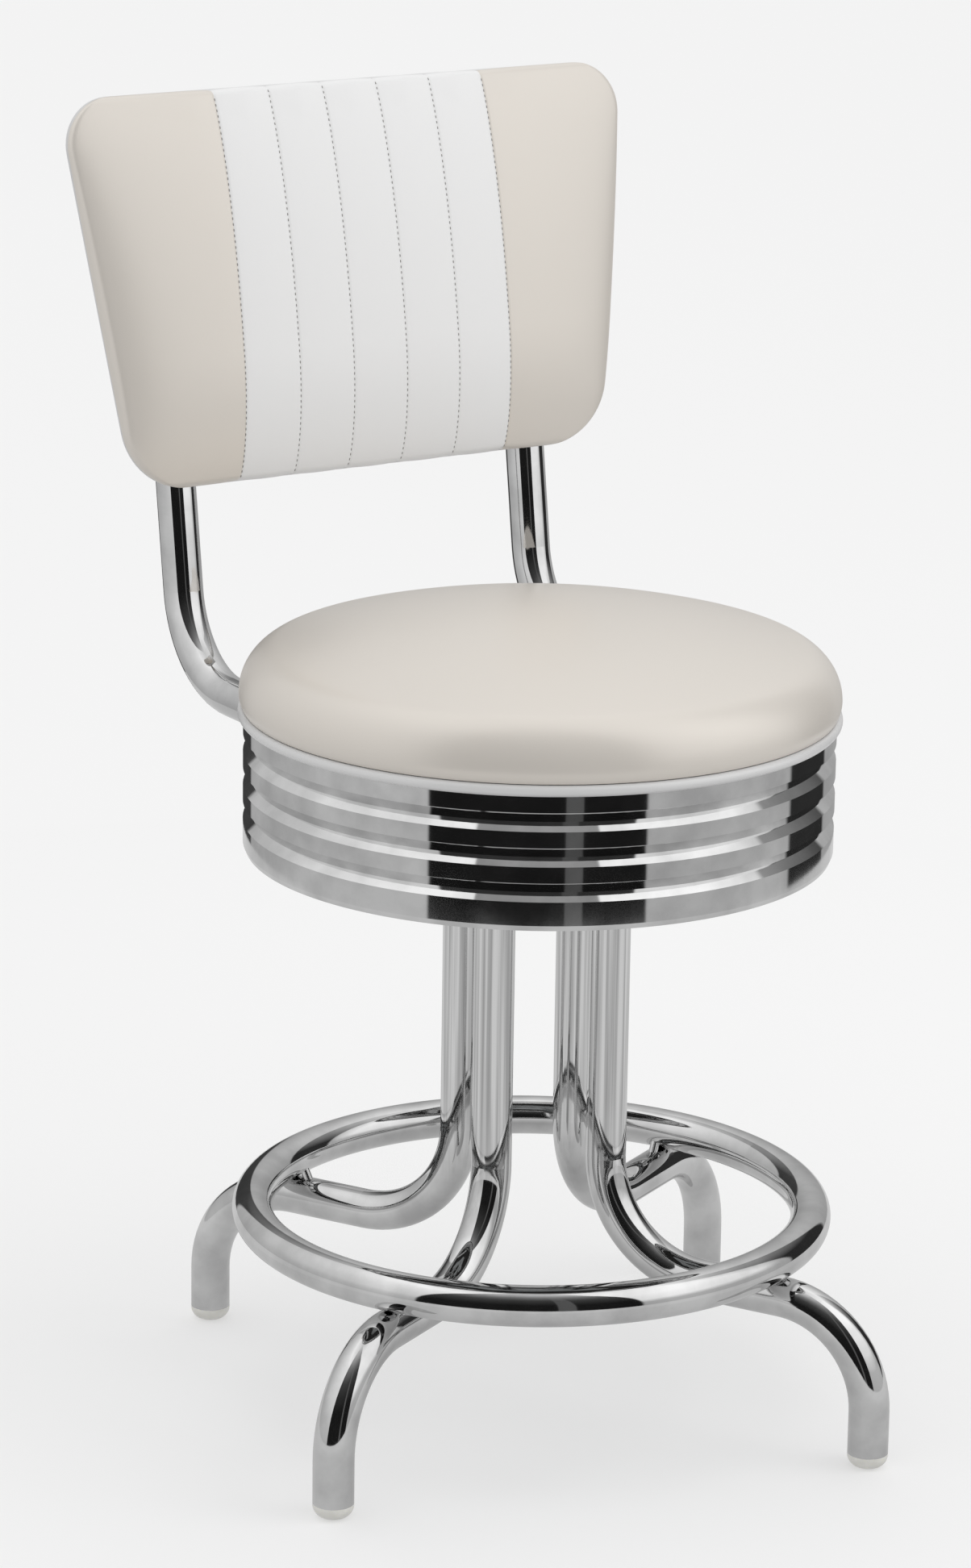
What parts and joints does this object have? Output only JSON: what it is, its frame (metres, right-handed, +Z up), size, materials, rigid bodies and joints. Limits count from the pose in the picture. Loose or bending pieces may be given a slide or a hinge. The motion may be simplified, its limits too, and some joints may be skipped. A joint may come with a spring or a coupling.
{
  "type": "swivel stool",
  "caption": "Low diner stool with a padded round seat in a ribbed chrome band, a channelled trapezoid backrest on bent tubes, splayed tube legs and a foot ring; the seat swivels.",
  "frame": {"origin": "on the floor, on the swivel axis", "axes": "+Z up; the sitter faces -Y at rest and the backrest is at +Y; +X to the right as seen from the front"},
  "size_m": [0.4512, 0.4932, 0.8142],
  "materials": {
    "chrome_plate": "bright chrome plate, mirror polished",
    "chrome_screws": "bright plated screw heads",
    "zinc_steel": "zinc plated steel",
    "white_nylon": "moulded white nylon",
    "grey_plastic": "moulded grey end plugs",
    "plywood": "unfinished birch plywood",
    "beige_vinyl": "smooth pearly beige upholstery vinyl, satin",
    "white_vinyl": "smooth white upholstery vinyl, satin"
  },
  "bodies": {
    "base": {"column_plate": "zinc_steel", "foot_glide_1": "white_nylon", "foot_glide_2": "white_nylon", "foot_glide_3": "white_nylon", "foot_glide_4": "white_nylon", "foot_ring": "chrome_plate", "leg_tube_1": "chrome_plate", "leg_tube_2": "chrome_plate", "leg_tube_3": "chrome_plate", "leg_tube_4": "chrome_plate", "lower_plate_bolts": "zinc_steel", "lower_plate_nuts": "zinc_steel", "ring_stud_1": "chrome_plate", "ring_stud_2": "chrome_plate", "ring_stud_3": "chrome_plate", "ring_stud_4": "chrome_plate", "swivel_lower_plate": "zinc_steel", "swivel_pivot": "zinc_steel"},
    "ball_ring": {"swivel_balls": "zinc_steel"},
    "seat": {"back_board": "plywood", "back_pad_centre": "white_vinyl", "back_pad_left": "beige_vinyl", "back_pad_right": "beige_vinyl", "back_piping": "white_vinyl", "back_rear_panel": "beige_vinyl", "back_screws": "chrome_screws", "back_tube_left": "chrome_plate", "back_tube_right": "chrome_plate", "band_screws": "zinc_steel", "seat_band": "chrome_plate", "seat_board": "plywood", "seat_pad": "beige_vinyl", "seat_piping_front": "white_vinyl", "seat_piping_rear": "white_vinyl", "swivel_upper_plate": "zinc_steel", "tee_nuts": "zinc_steel", "tube_bolts": "zinc_steel", "tube_front_cap_left": "grey_plastic", "tube_front_cap_right": "grey_plastic", "tube_top_cap_left": "grey_plastic", "tube_top_cap_right": "grey_plastic", "upper_plate_bolts": "zinc_steel"}
  },
  "joints": [
    {"name": "seat_swivel", "type": "hinge", "parent": "base", "child": "seat", "pos_m": [0, 0, 0.4436], "axis": [0, 0, 1], "continuous": true},
    {"name": "ball_ring_roll", "type": "hinge", "parent": "base", "child": "ball_ring", "pos_m": [0, 0, 0.4436], "axis": [0, 0, 1], "continuous": true}
  ],
  "couplings": [
    {"joint": "ball_ring_roll", "follows": "seat_swivel", "ratio": 0.5}
  ]
}
